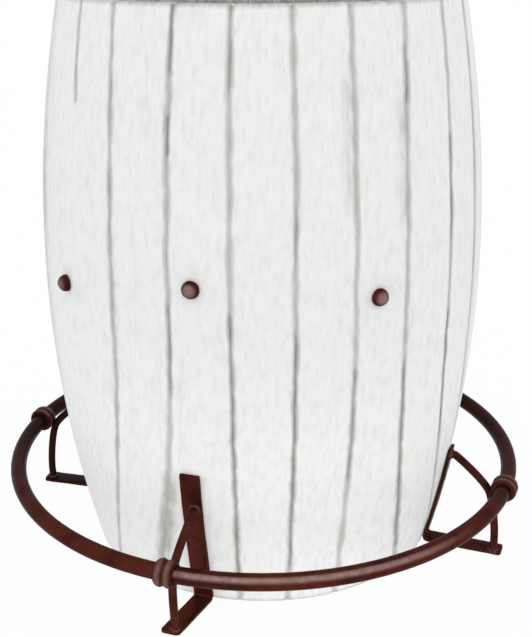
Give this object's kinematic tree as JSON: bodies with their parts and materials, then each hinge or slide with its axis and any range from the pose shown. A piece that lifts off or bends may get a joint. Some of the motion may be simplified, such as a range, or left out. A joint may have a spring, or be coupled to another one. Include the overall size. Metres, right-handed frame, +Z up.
{
  "type": "barrel bar",
  "caption": "Hoopless whitewashed oak barrel standing on end, with a round dark iron foot rail on bent brackets.",
  "frame": {"origin": "on the floor, on the barrel's axis", "axes": "+Z up along the barrel's axis; the front of the picture faces -Y; +X to its right"},
  "size_m": [0.8814, 0.8817, 0.875],
  "materials": {
    "whitewashed_oak": "whitewashed, matt, with the grain showing",
    "bare_oak": "bare",
    "bronzed_iron": "dark reddish brown, waxed, hammered on the nail heads"
  },
  "bodies": {
    "root": {"stave_01": "whitewashed_oak", "stave_02": "whitewashed_oak", "stave_03": "whitewashed_oak", "stave_04": "whitewashed_oak", "stave_05": "whitewashed_oak", "stave_06": "whitewashed_oak", "stave_07": "whitewashed_oak", "stave_08": "whitewashed_oak", "stave_09": "whitewashed_oak", "stave_10": "whitewashed_oak", "stave_11": "whitewashed_oak", "stave_12": "whitewashed_oak", "stave_13": "whitewashed_oak", "stave_14": "whitewashed_oak", "stave_15": "whitewashed_oak", "stave_16": "whitewashed_oak", "stave_17": "whitewashed_oak", "stave_18": "whitewashed_oak", "stave_19": "whitewashed_oak", "stave_20": "whitewashed_oak", "stave_21": "whitewashed_oak", "stave_22": "whitewashed_oak", "stave_23": "whitewashed_oak", "stave_24": "whitewashed_oak", "stave_25": "whitewashed_oak", "top_head_board_1": "whitewashed_oak", "top_head_board_2": "whitewashed_oak", "top_head_board_3": "whitewashed_oak", "top_head_board_4": "whitewashed_oak", "top_head_board_5": "whitewashed_oak", "bottom_head": "bare_oak", "inner_ring": "bare_oak", "stave_nail_1": "bronzed_iron", "stave_nail_2": "bronzed_iron", "stave_nail_3": "bronzed_iron", "stave_nail_4": "bronzed_iron", "stave_nail_5": "bronzed_iron", "stave_nail_6": "bronzed_iron", "stave_nail_7": "bronzed_iron", "stave_nail_8": "bronzed_iron", "rail_left_to_front": "bronzed_iron", "rail_front_to_right": "bronzed_iron", "rail_right_to_back": "bronzed_iron", "rail_back_to_left": "bronzed_iron", "rail_collar_left": "bronzed_iron", "rail_collar_front": "bronzed_iron", "rail_collar_right": "bronzed_iron", "rail_collar_back": "bronzed_iron", "bracket_bar_left": "bronzed_iron", "bracket_bar_front": "bronzed_iron", "bracket_bar_right": "bronzed_iron", "bracket_bar_back": "bronzed_iron", "bracket_rod_left": "bronzed_iron", "bracket_rod_front": "bronzed_iron", "bracket_rod_right": "bronzed_iron", "bracket_rod_back": "bronzed_iron", "bracket_screw_left": "bronzed_iron", "bracket_screw_front": "bronzed_iron", "bracket_screw_right": "bronzed_iron", "bracket_screw_back": "bronzed_iron"}
  },
  "joints": []
}
